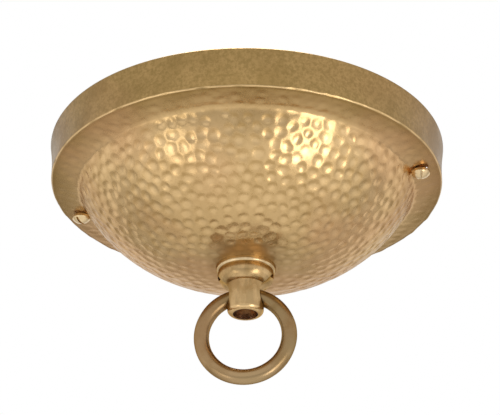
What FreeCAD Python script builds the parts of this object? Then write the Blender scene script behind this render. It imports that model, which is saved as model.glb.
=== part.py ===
import FreeCAD, Part
import Sketcher
import math
import os

# Ceiling canopy for a hanging light: a spun brass dome with hammer marks, a loop body and a ring.
# Millimetres. +Z is up, and the origin is the middle of the rim, on the ceiling.
# Heights are given as depths below the ceiling.

DIMENSIONS = {
    "rim_radius": 70.0,
    "band_taper": 1.0,
    "band_depth": 13.9,
    "flange_width": 9.8,
    "flange_drop": 1.6,
    "fold_width": 0.15,
    "shoulder_width": 7.1,
    "shoulder_height": 14.8,
    "crown_radius": 33.4,
    "dome_height": 28.9,
    "seat_edge_radius": 12.6,
    "sheet_thickness": 1.0,
    "stem_hole_radius": 5.3,
    "mark_pitch": 4.65,
    "mark_depth": 0.25,
    "mark_floor_share": 0.5,
    "screw_foot_gap": 0.1,
    "screw_slot_half_width": 2.2,
    "screw_slot_travel": 1.0,
    "screw_shank_radius": 2.0,
    "screw_head_radius": 3.2,
    "screw_head_side": 0.9,
    "screw_head_crown": 1.5,
    "screw_top_gap": 0.5,
    "driver_slot_width": 0.8,
    "driver_slot_depth": 1.2,
    "seat_washer_radius": 10.3,
    "seat_washer_thickness": 1.8,
    "seat_washer_round": 0.9,
    "cup_radius": 9.5,
    "cup_height": 5.3,
    "cup_curve": 4.2,
    "neck_top_radius": 6.74,
    "neck_foot_radius": 6.25,
    "neck_length": 9.0,
    "lip_length": 1.5,
    "lip_radius": 5.0,
    "lip_curve": 1.6,
    "outlet_radius": 4.3,
    "socket_depth": 4.9,
    "thread_clearance": 0.05,
    "stem_radius": 4.95,
    "stem_bore_radius": 3.5,
    "stem_length": 17.3,
    "stem_end_gap": 0.3,
    "flat_washer_radius": 9.5,
    "flat_washer_thickness": 1.2,
    "lock_washer_radius": 8.2,
    "lock_washer_thickness": 0.8,
    "locknut_circumradius": 8.25,
    "locknut_height": 4.0,
    "ring_mean_radius": 15.0,
    "ring_wire_radius": 2.65,
    "ring_drop": 8.9,
    "ring_clearance": 0.08,
    "ring_hole_flare": 12.0,
    "loop_turn": 10.0,
    "bar_end_gap": 3.0,
    "bar_width": 16.0,
    "bar_thickness": 2.0,
    "bar_collar_radius": 3.6,
    "bar_collar_height": 2.0,
    "bar_centre_radius": 5.1,
    "box_screw_spacing": 69.85,
    "box_slot_half_width": 2.3,
    "box_slot_travel": 10.0,
    "ground_screw_offset": 18.0,
    "ground_screw_radius": 2.35,
    "ground_head_radius": 4.6,
    "ground_head_height": 2.6,
    "ground_end_gap": 0.2,
}

doc = FreeCAD.newDocument("canopy")
dims = doc.addObject("Spreadsheet::Sheet", "dims")
for row, (name, number) in enumerate(DIMENSIONS.items(), start=1):
    dims.set("A%d" % row, name)
    dims.set("B%d" % row, str(number))
    dims.setAlias("B%d" % row, name)
doc.recompute()


class Size:
    """A length with its number now and the text that ties it to the sheet."""

    def __init__(self, number, text):
        self.number = number
        self.text = text

    def __add__(self, other):
        return Size(self.number + other.number, "(%s + %s)" % (self.text, other.text))

    def __sub__(self, other):
        return Size(self.number - other.number, "(%s - %s)" % (self.text, other.text))

    def __mul__(self, factor):
        if isinstance(factor, Size):
            return Size(self.number * factor.number, "(%s * %s)" % (self.text, factor.text))
        return Size(self.number * factor, "(%s * %s)" % (self.text, factor))

    def __truediv__(self, other):
        return Size(self.number / other.number, "(%s / %s)" % (self.text, other.text))

    def __neg__(self):
        return Size(-self.number, "(0 - %s)" % self.text)


def size(name):
    return Size(float(dims.get(name)), "dims." + name)


ZERO = Size(0.0, "0")

# Radii and depths that follow from the sizes above, from the rim inwards and downwards.

band_foot = size("rim_radius") - size("band_taper")
dome_foot = band_foot - size("flange_width")
screw_circle = dome_foot + size("screw_head_radius") + size("screw_foot_gap")
flange_depth = size("band_depth") + size("flange_drop")
seat_depth = flange_depth + size("dome_height")


def bind(item, **sizes):
    """Tie number properties to the sheet."""
    for name, value in sizes.items():
        item.setExpression(name, value.text)


def place(item, across=ZERO, along=ZERO, height=ZERO):
    """Tie a position to the sheet."""
    item.setExpression("Placement.Base.x", across.text)
    item.setExpression("Placement.Base.y", along.text)
    item.setExpression("Placement.Base.z", height.text)


# Turned parts

def origin_plane(body, role):
    return next(f for f in body.Origin.OriginFeatures if f.Role == role)


def arc_between(start, end, radius, side):
    """The short arc from start to end with this radius, bulging to the left of the way if side is 1."""
    chord = end - start
    middle = (start + end) * 0.5
    left = FreeCAD.Vector(-chord.y, chord.x, 0).normalize()
    half = chord.Length / 2
    sagitta = radius - math.sqrt(radius * radius - half * half)
    return Part.Arc(start, middle + left * (side * sagitta), end)


def turned_sketch(body, name, corners):
    """A closed outline in the XZ plane. A corner is (radius, height), with (curve, side) where an arc follows."""
    sketch = body.newObject("Sketcher::SketchObject", name)
    sketch.AttachmentSupport = (origin_plane(body, "XZ_Plane"), [""])
    sketch.MapMode = "FlatFace"
    count = len(corners)
    spots = [FreeCAD.Vector(c[0].number, c[1].number, 0) for c in corners]
    for index, corner in enumerate(corners):
        start, end = spots[index], spots[(index + 1) % count]
        if len(corner) == 4:
            sketch.addGeometry(arc_between(start, end, corner[2].number, corner[3]), False)
        else:
            sketch.addGeometry(Part.LineSegment(start, end), False)
    first, last = [], []
    for index, corner in enumerate(corners):
        edge = sketch.Geometry[index]
        forward = edge.StartPoint.distanceToPoint(spots[index]) < 1e-6
        first.append(1 if forward else 2)
        last.append(2 if forward else 1)
    for index in range(count):
        after = (index + 1) % count
        sketch.addConstraint(Sketcher.Constraint("Coincident", index, last[index], after, first[after]))
    for index, corner in enumerate(corners):
        for kind, value in (("DistanceX", corner[0]), ("DistanceY", corner[1])):
            rule = sketch.addConstraint(
                Sketcher.Constraint(kind, -1, 1, index, first[index], value.number)
            )
            sketch.setExpression("Constraints[%d]" % rule, value.text)
        if len(corner) == 4:
            rule = sketch.addConstraint(Sketcher.Constraint("Radius", index, corner[2].number))
            sketch.setExpression("Constraints[%d]" % rule, corner[2].text)
    return sketch


def turned_body(label, corners):
    body = doc.addObject("PartDesign::Body", label)
    body.Label = label
    sketch = turned_sketch(body, label + "_outline", corners)
    turning = body.newObject("PartDesign::Revolution", label + "_turning")
    turning.Profile = sketch
    turning.ReferenceAxis = (sketch, ["V_Axis"])
    turning.Angle = 360.0
    doc.recompute()
    return body


def cylinder(label, radius, height, across=ZERO, along=ZERO, base=ZERO):
    item = doc.addObject("Part::Cylinder", label)
    bind(item, Radius=radius, Height=height)
    place(item, across, along, base)
    return item


def cut(label, base, tools):
    """One solid less some others."""
    if len(tools) > 1:
        joined = doc.addObject("Part::MultiFuse", label + "_cutters")
        joined.Shapes = tools
        tool = joined
    else:
        tool = tools[0]
    item = doc.addObject("Part::Cut", label)
    item.Label = label
    item.Base = base
    item.Tool = tool
    return item


# Canopy shell
# The outside of the dome is a net of small flat faces, a floor and its slopes to each hammer mark,
# so this shape is built face by face from the same sheet of sizes.

def sheet_value(name):
    return float(dims.get(name))


def dome_poles(inset):
    """Four poles of the dome's outline as (radius, height), moved inwards by the inset."""
    shoulder = dome_foot.number - sheet_value("shoulder_width")
    shoulder_depth = flange_depth.number + sheet_value("shoulder_height")
    return [
        (dome_foot.number - inset, inset - flange_depth.number),
        (shoulder - 0.8 * inset, 0.6 * inset - shoulder_depth),
        (sheet_value("crown_radius"), inset - seat_depth.number),
        (sheet_value("seat_edge_radius"), inset - seat_depth.number),
    ]


def dome_curve(inset):
    curve = Part.BezierCurve()
    curve.setPoles([FreeCAD.Vector(0, r, z) for r, z in dome_poles(inset)])
    return curve


def turned_face(edge):
    return edge.toShape().revolve(FreeCAD.Vector(0, 0, 0), FreeCAD.Vector(0, 0, 1), 360).Faces


def circle_wire(radius, height):
    return Part.Wire(Part.makeCircle(radius, FreeCAD.Vector(0, 0, height)))


def face_with_holes(outside, holes):
    face = Part.Face(outside)
    face.cutHoles(holes)
    face.validate()
    return face


def triangle(a, b, c):
    return Part.Face(Part.makePolygon([a, b, c, a]))


def mark_faces(corners, top, middle):
    """One hammer mark: a flat floor around the middle, and slopes up to the corners."""
    down = (middle - top).normalize()
    floor = []
    for corner in corners:
        spot = top + (corner - top) * sheet_value("mark_floor_share")
        floor.append(spot + down * (middle - spot).dot(down))
    faces = [Part.Face(Part.makePolygon(floor + floor[:1]))]
    for index in range(len(corners)):
        after = (index + 1) % len(corners)
        faces.append(triangle(corners[index], corners[after], floor[after]))
        faces.append(triangle(corners[index], floor[after], floor[index]))
    return faces


def hammered_faces():
    """Faces of the hammered dome, with its foot polygon and its seat polygon."""
    curve = dome_curve(0.0)
    length = curve.length()
    rows = round(length / sheet_value("mark_pitch"))
    step = 1.0 / rows
    radii, heights, inward = [], [], []
    for index in range(2 * rows + 1):
        at = curve.parameterAtDistance(length * index * step / 2)
        spot = curve.value(at)
        along = curve.tangent(at)[0]
        radii.append(spot.y)
        heights.append(spot.z)
        inward.append((-abs(along.z), abs(along.y)))
    counts = [round(2 * math.pi * radii[2 * row + 1] / sheet_value("mark_pitch")) for row in range(rows)]
    walls = [[(k + 0.5 * (row % 2)) / counts[row] for k in range(counts[row])] for row in range(rows)]

    def on_net(line, turn, push):
        radius = radii[line] + push * inward[line][0]
        height = heights[line] + push * inward[line][1]
        angle = 2 * math.pi * turn
        return FreeCAD.Vector(radius * math.cos(angle), radius * math.sin(angle), height)

    def turns_on(line):
        """The corners on one line between rows: the walls of the row on each side of it."""
        found = set()
        for row in (line // 2 - 1, line // 2):
            if 0 <= row < rows:
                found.update(round(turn % 1.0, 9) for turn in walls[row])
        return sorted(found)

    def corners_between(line, start, end):
        inside = []
        for turn in turns_on(line):
            inside += [t for t in (turn, turn + 1.0) if start + 1e-6 < t < end - 1e-6]
        ends = [round(start % 1.0, 9), round(end % 1.0, 9)]
        return [ends[0]] + sorted(inside) + [ends[1]]

    faces = []
    for row in range(rows):
        for start in walls[row]:
            end = start + 1.0 / counts[row]
            middle = on_net(2 * row + 1, (start + end) / 2, sheet_value("mark_depth"))
            loop = [on_net(2 * row, t % 1.0, 0) for t in corners_between(2 * row, start, end)]
            back = [on_net(2 * row + 2, t % 1.0, 0) for t in corners_between(2 * row + 2, start, end)]
            loop += reversed(back)
            top = on_net(2 * row + 1, (start + end) / 2, 0)
            faces += mark_faces(loop, top, middle)
    foot = [on_net(0, turn, 0) for turn in turns_on(0)]
    seat = [on_net(2 * rows, turn, 0) for turn in turns_on(2 * rows)]
    return faces, Part.makePolygon(foot + foot[:1]), Part.makePolygon(seat + seat[:1])


def outline_edge(start, end):
    """A straight stretch of the shell's outline between two (radius, height) corners."""
    return Part.LineSegment(FreeCAD.Vector(0, *start), FreeCAD.Vector(0, *end))


def slot_block(way):
    """The slot under one canopy screw as a solid, long way radial, for the screw on the +X or -X side."""
    half = sheet_value("screw_slot_half_width")
    travel = sheet_value("screw_slot_travel")
    middle = way * screw_circle.number
    depth = flange_depth.number + sheet_value("sheet_thickness")
    across = FreeCAD.Vector(travel / 2, 0, 0)
    low = FreeCAD.Vector(middle, 0, -depth)
    block = Part.makeBox(travel, 2 * half, depth, low - across - FreeCAD.Vector(0, half, 0))
    return block.fuse([
        Part.makeCylinder(half, depth, low + across),
        Part.makeCylinder(half, depth, low - across),
    ]).removeSplitter()


def flange_faces(corners):
    """Faces of the sloping flange with its two slots, less the ends where the band and the dome meet it."""
    sides = [outline_edge(a, b).toShape() for a, b in zip(corners, corners[1:] + corners[:1])]
    ring = Part.Face(Part.Wire(sides)).revolve(FreeCAD.Vector(0, 0, 0), FreeCAD.Vector(0, 0, 1), 360)
    slotted = ring.cut([slot_block(1), slot_block(-1)])
    ends = Part.makeCompound(
        turned_face(outline_edge(corners[1], corners[2])) + turned_face(outline_edge(corners[3], corners[0]))
    )
    kept = []
    for face in slotted.Faces:
        low_u, high_u, low_v, high_v = face.ParameterRange
        middle = face.valueAt((low_u + high_u) / 2, (low_v + high_v) / 2)
        if Part.Vertex(middle).distToShape(ends)[0] > 1e-6:
            kept.append(face)
    return kept


def canopy_shape():
    thick = sheet_value("sheet_thickness")
    rim = sheet_value("rim_radius")
    foot = band_foot.number
    band = sheet_value("band_depth")
    flange = flange_depth.number
    seat = seat_depth.number
    hole = sheet_value("stem_hole_radius")
    outer_edge = (foot, -band)
    inner_edge = (foot - thick, thick - band)
    fold = (dome_foot.number + sheet_value("fold_width"), -flange)
    inner_fold = (dome_foot.number - thick, thick - flange)

    faces, foot_polygon, seat_polygon = hammered_faces()
    for edge in (
        outline_edge((rim, 0), outer_edge),
        outline_edge((rim - thick, 0), inner_edge),
        dome_curve(thick),
    ):
        faces += turned_face(edge)
    faces += flange_faces([outer_edge, fold, inner_fold, inner_edge])
    faces.append(face_with_holes(circle_wire(rim, 0), [circle_wire(rim - thick, 0)]))
    faces.append(face_with_holes(circle_wire(fold[0], -flange), [foot_polygon]))
    faces.append(face_with_holes(seat_polygon, [circle_wire(hole, -seat)]))
    inner_seat = circle_wire(sheet_value("seat_edge_radius"), thick - seat)
    faces.append(face_with_holes(inner_seat, [circle_wire(hole, thick - seat)]))
    faces += circle_wire(hole, -seat).extrude(FreeCAD.Vector(0, 0, thick)).Faces
    shell = Part.makeShell(faces)
    shell.sewShape()
    solid = Part.Solid(shell)
    if solid.Volume < 0:
        solid.reverse()
    return solid


canopy = doc.addObject("Part::Feature", "canopy")
canopy.Label = "canopy"
canopy.Shape = canopy_shape()
canopy.Placement = FreeCAD.Placement()

# Seat washer under the dome

washer_low = -(seat_depth + size("seat_washer_thickness"))
seat_washer = turned_body("seat_washer", [
    (size("stem_hole_radius"), -seat_depth),
    (size("stem_hole_radius"), washer_low),
    (size("seat_washer_radius") - size("seat_washer_round"), washer_low, size("seat_washer_round"), -1),
    (size("seat_washer_radius"), washer_low + size("seat_washer_round")),
    (size("seat_washer_radius"), -seat_depth),
])

# Loop body: cup, neck and lip with a bore, and a flared cross hole for the ring

cup_low = washer_low - size("cup_height")
neck_low = cup_low - size("neck_length")
lip_low = neck_low - size("lip_length")
socket_radius = size("stem_radius") + size("thread_clearance")
socket_low = washer_low - size("socket_depth")
loop_body = turned_body("loop_body", [
    (size("cup_radius"), washer_low),
    (socket_radius, washer_low),
    (socket_radius, socket_low),
    (size("outlet_radius"), socket_low),
    (size("outlet_radius"), lip_low),
    (size("lip_radius"), lip_low, size("lip_curve"), -1),
    (size("neck_foot_radius"), neck_low),
    (size("neck_top_radius"), cup_low, size("cup_curve"), -1),
])
ring_height = washer_low - size("ring_drop")
throat = size("ring_wire_radius") + size("ring_clearance")
flare = size("ring_hole_flare")
reach = size("cup_radius")
flare_rise = flare.number - math.sqrt(flare.number ** 2 - reach.number ** 2)
hole_sketch = loop_body.newObject("Sketcher::SketchObject", "loop_body_cross_outline")
hole_sketch.AttachmentSupport = (origin_plane(loop_body, "XZ_Plane"), [""])
hole_sketch.MapMode = "FlatFace"
hole_sketch.setExpression("AttachmentOffset.Base.y", ring_height.text)
mouth = throat.number + flare_rise
left = FreeCAD.Vector(-reach.number, 0, 0)
right = FreeCAD.Vector(reach.number, 0, 0)
left_top = FreeCAD.Vector(-reach.number, mouth, 0)
right_top = FreeCAD.Vector(reach.number, mouth, 0)
hole_sketch.addGeometry([
    Part.LineSegment(left, right),
    Part.LineSegment(right, right_top),
    Part.Arc(left_top, FreeCAD.Vector(0, throat.number, 0), right_top),
    Part.LineSegment(left_top, left),
], False)
hole_sketch.addConstraint([
    Sketcher.Constraint("Coincident", 0, 2, 1, 1),
    Sketcher.Constraint("Coincident", 1, 2, 2, 2),
    Sketcher.Constraint("Coincident", 2, 1, 3, 1),
    Sketcher.Constraint("Coincident", 3, 2, 0, 1),
    Sketcher.Constraint("Horizontal", 0),
    Sketcher.Constraint("Vertical", 1),
    Sketcher.Constraint("Vertical", 3),
    Sketcher.Constraint("PointOnObject", 0, 1, -1),
    Sketcher.Constraint("PointOnObject", 2, 3, -2),
])
for kind, places, value in (
    ("DistanceX", (-1, 1, 0, 2), reach),
    ("DistanceX", (0, 1, -1, 1), reach),
    ("DistanceY", (-1, 1, 2, 3), throat + flare),
    ("Radius", (2,), flare),
):
    rule = hole_sketch.addConstraint(Sketcher.Constraint(kind, *places, value.number))
    hole_sketch.setExpression("Constraints[%d]" % rule, value.text)
cross_hole = loop_body.newObject("PartDesign::Groove", "loop_body_cross_hole")
cross_hole.Profile = hole_sketch
cross_hole.ReferenceAxis = (hole_sketch, ["H_Axis"])
cross_hole.Angle = 360.0
loop_turn = FreeCAD.Rotation(FreeCAD.Vector(0, 0, 1), sheet_value("loop_turn"))
loop_body.Placement.Rotation = loop_turn
doc.recompute()

# Ring

ring = doc.addObject("Part::Torus", "ring")
ring.Label = "ring"
bind(ring, Radius1=size("ring_mean_radius"), Radius2=size("ring_wire_radius"))
ring.Placement.Rotation = loop_turn * FreeCAD.Rotation(FreeCAD.Vector(1, 0, 0), 90)
place(ring, height=ring_height - size("ring_mean_radius"))

# Hollow stem, washers and locknut that clamp the loop body to the dome

stem_low = socket_low + size("stem_end_gap")
stem = cut("stem", cylinder("stem_rod", size("stem_radius"), size("stem_length"), base=stem_low), [
    cylinder("stem_bore", size("stem_bore_radius"), size("stem_length"), base=stem_low),
])
inner_seat = size("sheet_thickness") - seat_depth
flat_washer = cut(
    "flat_washer",
    cylinder("flat_washer_disc", size("flat_washer_radius"), size("flat_washer_thickness"), base=inner_seat),
    [cylinder("flat_washer_hole", size("stem_hole_radius"), size("flat_washer_thickness"), base=inner_seat)],
)
lock_low = inner_seat + size("flat_washer_thickness")
lock_washer = cut(
    "lock_washer",
    cylinder("lock_washer_disc", size("lock_washer_radius"), size("lock_washer_thickness"), base=lock_low),
    [cylinder("lock_washer_hole", size("stem_hole_radius"), size("lock_washer_thickness"), base=lock_low)],
)
nut_low = lock_low + size("lock_washer_thickness")
nut_block = doc.addObject("Part::Prism", "locknut_block")
nut_block.Polygon = 6
bind(nut_block, Circumradius=size("locknut_circumradius"), Height=size("locknut_height"))
place(nut_block, height=nut_low)
locknut = cut("locknut", nut_block, [
    cylinder("locknut_thread", socket_radius, size("locknut_height"), base=nut_low),
])

# Crossbar on the ceiling box, with collars that take the canopy screws

bar_low = -size("bar_thickness")
strip = doc.addObject("Part::Box", "bar_strip")
bar_half = size("rim_radius") - size("sheet_thickness") - size("bar_end_gap")
bind(strip, Length=bar_half * 2, Width=size("bar_width"), Height=size("bar_thickness"))
place(strip, -bar_half, size("bar_width") * -0.5, bar_low)
collar_low = bar_low - size("bar_collar_height")
bar_height = size("bar_thickness") + size("bar_collar_height")
collars = [
    cylinder("bar_collar_%s" % side, size("bar_collar_radius"), bar_height, across, base=collar_low)
    for side, across in (("right", screw_circle), ("left", -screw_circle))
]
bar_block = doc.addObject("Part::MultiFuse", "bar_block")
bar_block.Shapes = [strip] + collars
bar_cutters = [
    cylinder(
        "bar_thread_%s" % side,
        size("screw_shank_radius") + size("thread_clearance"),
        bar_height,
        across,
        base=collar_low,
    )
    for side, across in (("right", screw_circle), ("left", -screw_circle))
]
bar_cutters.append(cylinder("bar_centre_hole", size("bar_centre_radius"), size("bar_thickness"), base=bar_low))
ground_hole = size("ground_screw_radius") + size("thread_clearance")
bar_cutters.append(
    cylinder("bar_ground_hole", ground_hole, size("bar_thickness"), size("ground_screw_offset"), base=bar_low)
)
for side, sign in (("right", 0.5), ("left", -0.5)):
    middle = size("box_screw_spacing") * sign
    for end, shift in (("outer", 0.5), ("inner", -0.5)):
        bar_cutters.append(cylinder(
            "bar_slot_%s_%s" % (side, end),
            size("box_slot_half_width"),
            size("bar_thickness"),
            middle + size("box_slot_travel") * shift,
            base=bar_low,
        ))
    gap = doc.addObject("Part::Box", "bar_slot_%s" % side)
    bind(
        gap,
        Length=size("box_slot_travel"),
        Width=size("box_slot_half_width") * 2,
        Height=size("bar_thickness"),
    )
    place(gap, middle - size("box_slot_travel") * 0.5, -size("box_slot_half_width"), bar_low)
    bar_cutters.append(gap)
crossbar = cut("crossbar", bar_block, bar_cutters)

# Canopy screws: round slotted heads against the flange, shanks up into the crossbar

def round_head_screw(label, turn):
    side = size("screw_head_side")
    crown = size("screw_head_crown")
    radius = size("screw_head_radius")
    head_low = -(side + crown)
    crown_curve = (radius * radius + crown * crown) / (crown * 2)
    shank_top = flange_depth - size("screw_top_gap")
    body = turned_body(label, [
        (ZERO, shank_top),
        (ZERO, head_low, crown_curve, -1),
        (radius, -side),
        (radius, ZERO),
        (size("screw_shank_radius"), ZERO),
        (size("screw_shank_radius"), shank_top),
    ])
    sketch = body.newObject("Sketcher::SketchObject", label + "_slot_outline")
    sketch.AttachmentSupport = (origin_plane(body, "XZ_Plane"), [""])
    sketch.MapMode = "FlatFace"
    half = size("driver_slot_width") * 0.5
    low = head_low * 2
    top = head_low + size("driver_slot_depth")
    spots = [
        FreeCAD.Vector(-half.number, low.number, 0),
        FreeCAD.Vector(half.number, low.number, 0),
        FreeCAD.Vector(half.number, top.number, 0),
        FreeCAD.Vector(-half.number, top.number, 0),
    ]
    for here, there in zip(spots, spots[1:] + spots[:1]):
        sketch.addGeometry(Part.LineSegment(here, there), False)
    for index in range(4):
        sketch.addConstraint(Sketcher.Constraint("Coincident", index, 2, (index + 1) % 4, 1))
    for index in (0, 2):
        sketch.addConstraint(Sketcher.Constraint("Horizontal", index))
    for index in (1, 3):
        sketch.addConstraint(Sketcher.Constraint("Vertical", index))
    for kind, index, point, value in (
        ("DistanceX", 0, 1, -half),
        ("DistanceY", 0, 1, low),
        ("DistanceX", 2, 1, half),
        ("DistanceY", 2, 1, top),
    ):
        rule = sketch.addConstraint(Sketcher.Constraint(kind, -1, 1, index, point, value.number))
        sketch.setExpression("Constraints[%d]" % rule, value.text)
    pocket = body.newObject("PartDesign::Pocket", label + "_slot")
    pocket.Profile = sketch
    pocket.Midplane = True
    pocket.setExpression("Length", (size("screw_head_radius") * 4).text)
    body.Placement.Rotation = FreeCAD.Rotation(FreeCAD.Vector(0, 0, 1), turn)
    doc.recompute()
    return body


screws = []
for side, across, turn in (("right", screw_circle, 16), ("left", -screw_circle, -13)):
    screw = round_head_screw("screw_%s" % side, turn)
    place(screw, across, height=-flange_depth)
    screws.append(screw)
canopy_screws = doc.addObject("Part::Compound", "canopy_screws")
canopy_screws.Label = "canopy_screws"
canopy_screws.Links = screws

# Ground screw in the crossbar, head inside the canopy

ground_head = doc.addObject("Part::Prism", "ground_screw_head")
ground_head.Polygon = 6
bind(ground_head, Circumradius=size("ground_head_radius"), Height=size("ground_head_height"))
ground_at = size("ground_screw_offset")
place(ground_head, ground_at, height=bar_low - size("ground_head_height"))
ground_reach = size("bar_thickness") - size("ground_end_gap")
ground_shank = cylinder("ground_screw_shank", size("ground_screw_radius"), ground_reach, ground_at, base=bar_low)
ground_screw = doc.addObject("Part::Fuse", "ground_screw")
ground_screw.Label = "ground_screw"
ground_screw.Base = ground_head
ground_screw.Tool = ground_shank
doc.recompute()

# Files, one for each piece

parts = {
    "canopy": canopy,
    "seat_washer": seat_washer,
    "loop_body": loop_body,
    "ring": ring,
    "stem": stem,
    "flat_washer": flat_washer,
    "lock_washer": lock_washer,
    "locknut": locknut,
    "crossbar": crossbar,
    "canopy_screws": canopy_screws,
    "ground_screw": ground_screw,
}
for item in doc.Objects:
    if "Invalid" in item.State or "Error" in item.State:
        raise RuntimeError("%s: %s" % (item.Label, item.State))
os.makedirs("parts", exist_ok=True)
for name, item in parts.items():
    shape = item.Shape
    if shape.isNull() or not shape.isValid() or not shape.Solids or shape.Volume <= 0:
        raise RuntimeError("%s has no valid solid" % name)
    print(name, len(shape.Solids), round(shape.Volume, 2), shape.BoundBox)
    shape.exportStep("parts/%s.step" % name)
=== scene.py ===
"""Dresses a hammered brass ceiling canopy: its shell, loop body, ring, screws and inner fittings."""

import math

import bpy
import numpy as np
from mathutils import Matrix, Vector


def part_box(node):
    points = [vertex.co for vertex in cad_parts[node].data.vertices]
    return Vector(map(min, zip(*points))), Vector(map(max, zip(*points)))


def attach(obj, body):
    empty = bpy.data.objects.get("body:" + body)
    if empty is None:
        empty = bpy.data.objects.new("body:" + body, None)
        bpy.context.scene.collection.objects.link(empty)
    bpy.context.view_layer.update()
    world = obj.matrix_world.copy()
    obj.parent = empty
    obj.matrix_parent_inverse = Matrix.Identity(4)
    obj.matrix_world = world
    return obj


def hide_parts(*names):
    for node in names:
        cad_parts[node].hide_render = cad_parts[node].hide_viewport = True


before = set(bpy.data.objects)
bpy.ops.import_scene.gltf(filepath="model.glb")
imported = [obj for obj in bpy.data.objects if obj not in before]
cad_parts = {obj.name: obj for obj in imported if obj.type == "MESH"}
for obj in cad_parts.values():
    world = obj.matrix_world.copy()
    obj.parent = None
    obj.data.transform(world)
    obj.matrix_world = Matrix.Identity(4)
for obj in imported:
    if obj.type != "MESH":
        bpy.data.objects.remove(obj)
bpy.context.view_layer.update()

bl_info = {
    "name": "Hammered Ceiling Canopy",
    "version": (1, 0, 0),
    "blender": (4, 5, 0),
    "location": "View3D > Sidebar > Canopy",
    "description": "Builds the hammered brass canopy with its loop, ring and fittings, and its studio",
    "category": "Add Mesh",
}

MM = 0.001
BODY = "canopy_body"
RING_BODY = "ring_body"


# Sizes and colours


class CanopyShellSettings(bpy.types.PropertyGroup):
    """Sizes of the hammer marks"""

    mark_pitch: bpy.props.FloatProperty(
        name="Mark Pitch",
        description="Distance between neighbouring hammer marks on the dome",
        default=0.00465,
        unit="LENGTH",
    )
    mark_depth: bpy.props.FloatProperty(
        name="Mark Depth",
        description="Depth of a full hammer mark on the dome",
        default=0.00027,
        unit="LENGTH",
    )
    mark_radius: bpy.props.FloatProperty(
        name="Mark Radius",
        description="Radius of a hammer mark before its neighbours cut into it",
        default=0.00235,
        unit="LENGTH",
    )
    flange_mark_depth: bpy.props.FloatProperty(
        name="Flange Mark Depth",
        description="Depth of the softer marks on the flange",
        default=0.00012,
        unit="LENGTH",
    )
    band_mark_depth: bpy.props.FloatProperty(
        name="Band Mark Depth",
        description="Depth of the faint marks on the upright band",
        default=0.000025,
        unit="LENGTH",
    )
    seed: bpy.props.IntProperty(
        name="Seed",
        description="Start of the random shift of the marks",
        default=7,
    )


class CanopyFinishSettings(bpy.types.PropertyGroup):
    """Colours of the metals"""

    brass: bpy.props.FloatVectorProperty(
        name="Brass",
        description="Colour of the clean hammered brass",
        subtype="COLOR",
        size=4,
        min=0.0,
        max=1.0,
        default=(0.72, 0.494, 0.244, 1.0),
    )
    tarnish: bpy.props.FloatVectorProperty(
        name="Tarnish",
        description="Colour of the brass where it has darkened",
        subtype="COLOR",
        size=4,
        min=0.0,
        max=1.0,
        default=(0.42, 0.265, 0.105, 1.0),
    )
    # The band's brass is a darker copy of the dome's brass: painted shade
    band_brass: bpy.props.FloatVectorProperty(
        name="Band Brass",
        description="Colour of the upright band, which has darkened more than the dome",
        subtype="COLOR",
        size=4,
        min=0.0,
        max=1.0,
        default=(0.37, 0.237, 0.092, 1.0),
    )
    ring_brass: bpy.props.FloatVectorProperty(
        name="Ring Brass",
        description="Colour of the ring's brass wire",
        subtype="COLOR",
        size=4,
        min=0.0,
        max=1.0,
        default=(0.285, 0.194, 0.092, 1.0),
    )
    screw_brass: bpy.props.FloatVectorProperty(
        name="Screw Brass",
        description="Colour of the bright screw heads",
        subtype="COLOR",
        size=4,
        min=0.0,
        max=1.0,
        default=(0.74, 0.56, 0.32, 1.0),
    )
    zinc: bpy.props.FloatVectorProperty(
        name="Zinc",
        description="Colour of the zinc-plated steel inside the canopy",
        subtype="COLOR",
        size=4,
        min=0.0,
        max=1.0,
        default=(0.50, 0.50, 0.47, 1.0),
    )
    green: bpy.props.FloatVectorProperty(
        name="Ground Green",
        description="Colour of the ground screw",
        subtype="COLOR",
        size=4,
        min=0.0,
        max=1.0,
        default=(0.02, 0.13, 0.04, 1.0),
    )


class CanopyStageSettings(bpy.types.PropertyGroup):
    """Camera, lamps and floor"""

    floor_drop: bpy.props.FloatProperty(
        name="Floor Drop",
        description="Height of the ceiling above the floor",
        default=1.3,
        unit="LENGTH",
    )
    lens: bpy.props.FloatProperty(
        name="Lens",
        description="Focal length of the camera",
        default=120.0,
        unit="CAMERA",
    )
    left_power: bpy.props.FloatProperty(
        name="Left Lamp Power",
        description="Power of the soft lamp on the left",
        default=0.36,
        unit="POWER",
    )
    right_power: bpy.props.FloatProperty(
        name="Right Lamp Power",
        description="Power of the soft lamp on the right",
        default=1.68,
        unit="POWER",
    )
    side_power: bpy.props.FloatProperty(
        name="Side Lamp Power",
        description="Power of each of the two wide soft lamps at the sides",
        default=0.42,
        unit="POWER",
    )
    top_power: bpy.props.FloatProperty(
        name="Top Lamp Power",
        description="Power of the wide lamp overhead that lights the floor",
        default=60.0,
        unit="POWER",
    )
    lamp_width: bpy.props.FloatProperty(
        name="Lamp Width",
        description="Width of the right soft lamp, and the measure for the left one",
        default=0.34,
        unit="LENGTH",
    )
    lamp_height: bpy.props.FloatProperty(
        name="Lamp Height",
        description="Height of the right soft lamp, and the measure for the left one",
        default=0.66,
        unit="LENGTH",
    )


# Mesh helpers. Lengths in these are millimetres, and a finished mesh is in metres.


def turns(count):
    """Evenly spread angles round the upright axis."""
    return np.linspace(0.0, 2 * math.pi, count, endpoint=False)


def bell(value, middle, width):
    """A smooth bump of height 1 round the middle."""
    return np.exp(-(((value - middle) / width) ** 2))


def bezier(poles, count):
    """Points along a cubic curve of (radius, height) poles."""
    p = np.array(poles, float)
    t = np.linspace(0.0, 1.0, count)[:, None]
    return (
        (1 - t) ** 3 * p[0]
        + 3 * (1 - t) ** 2 * t * p[1]
        + 3 * (1 - t) * t**2 * p[2]
        + t**3 * p[3]
    )


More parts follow.
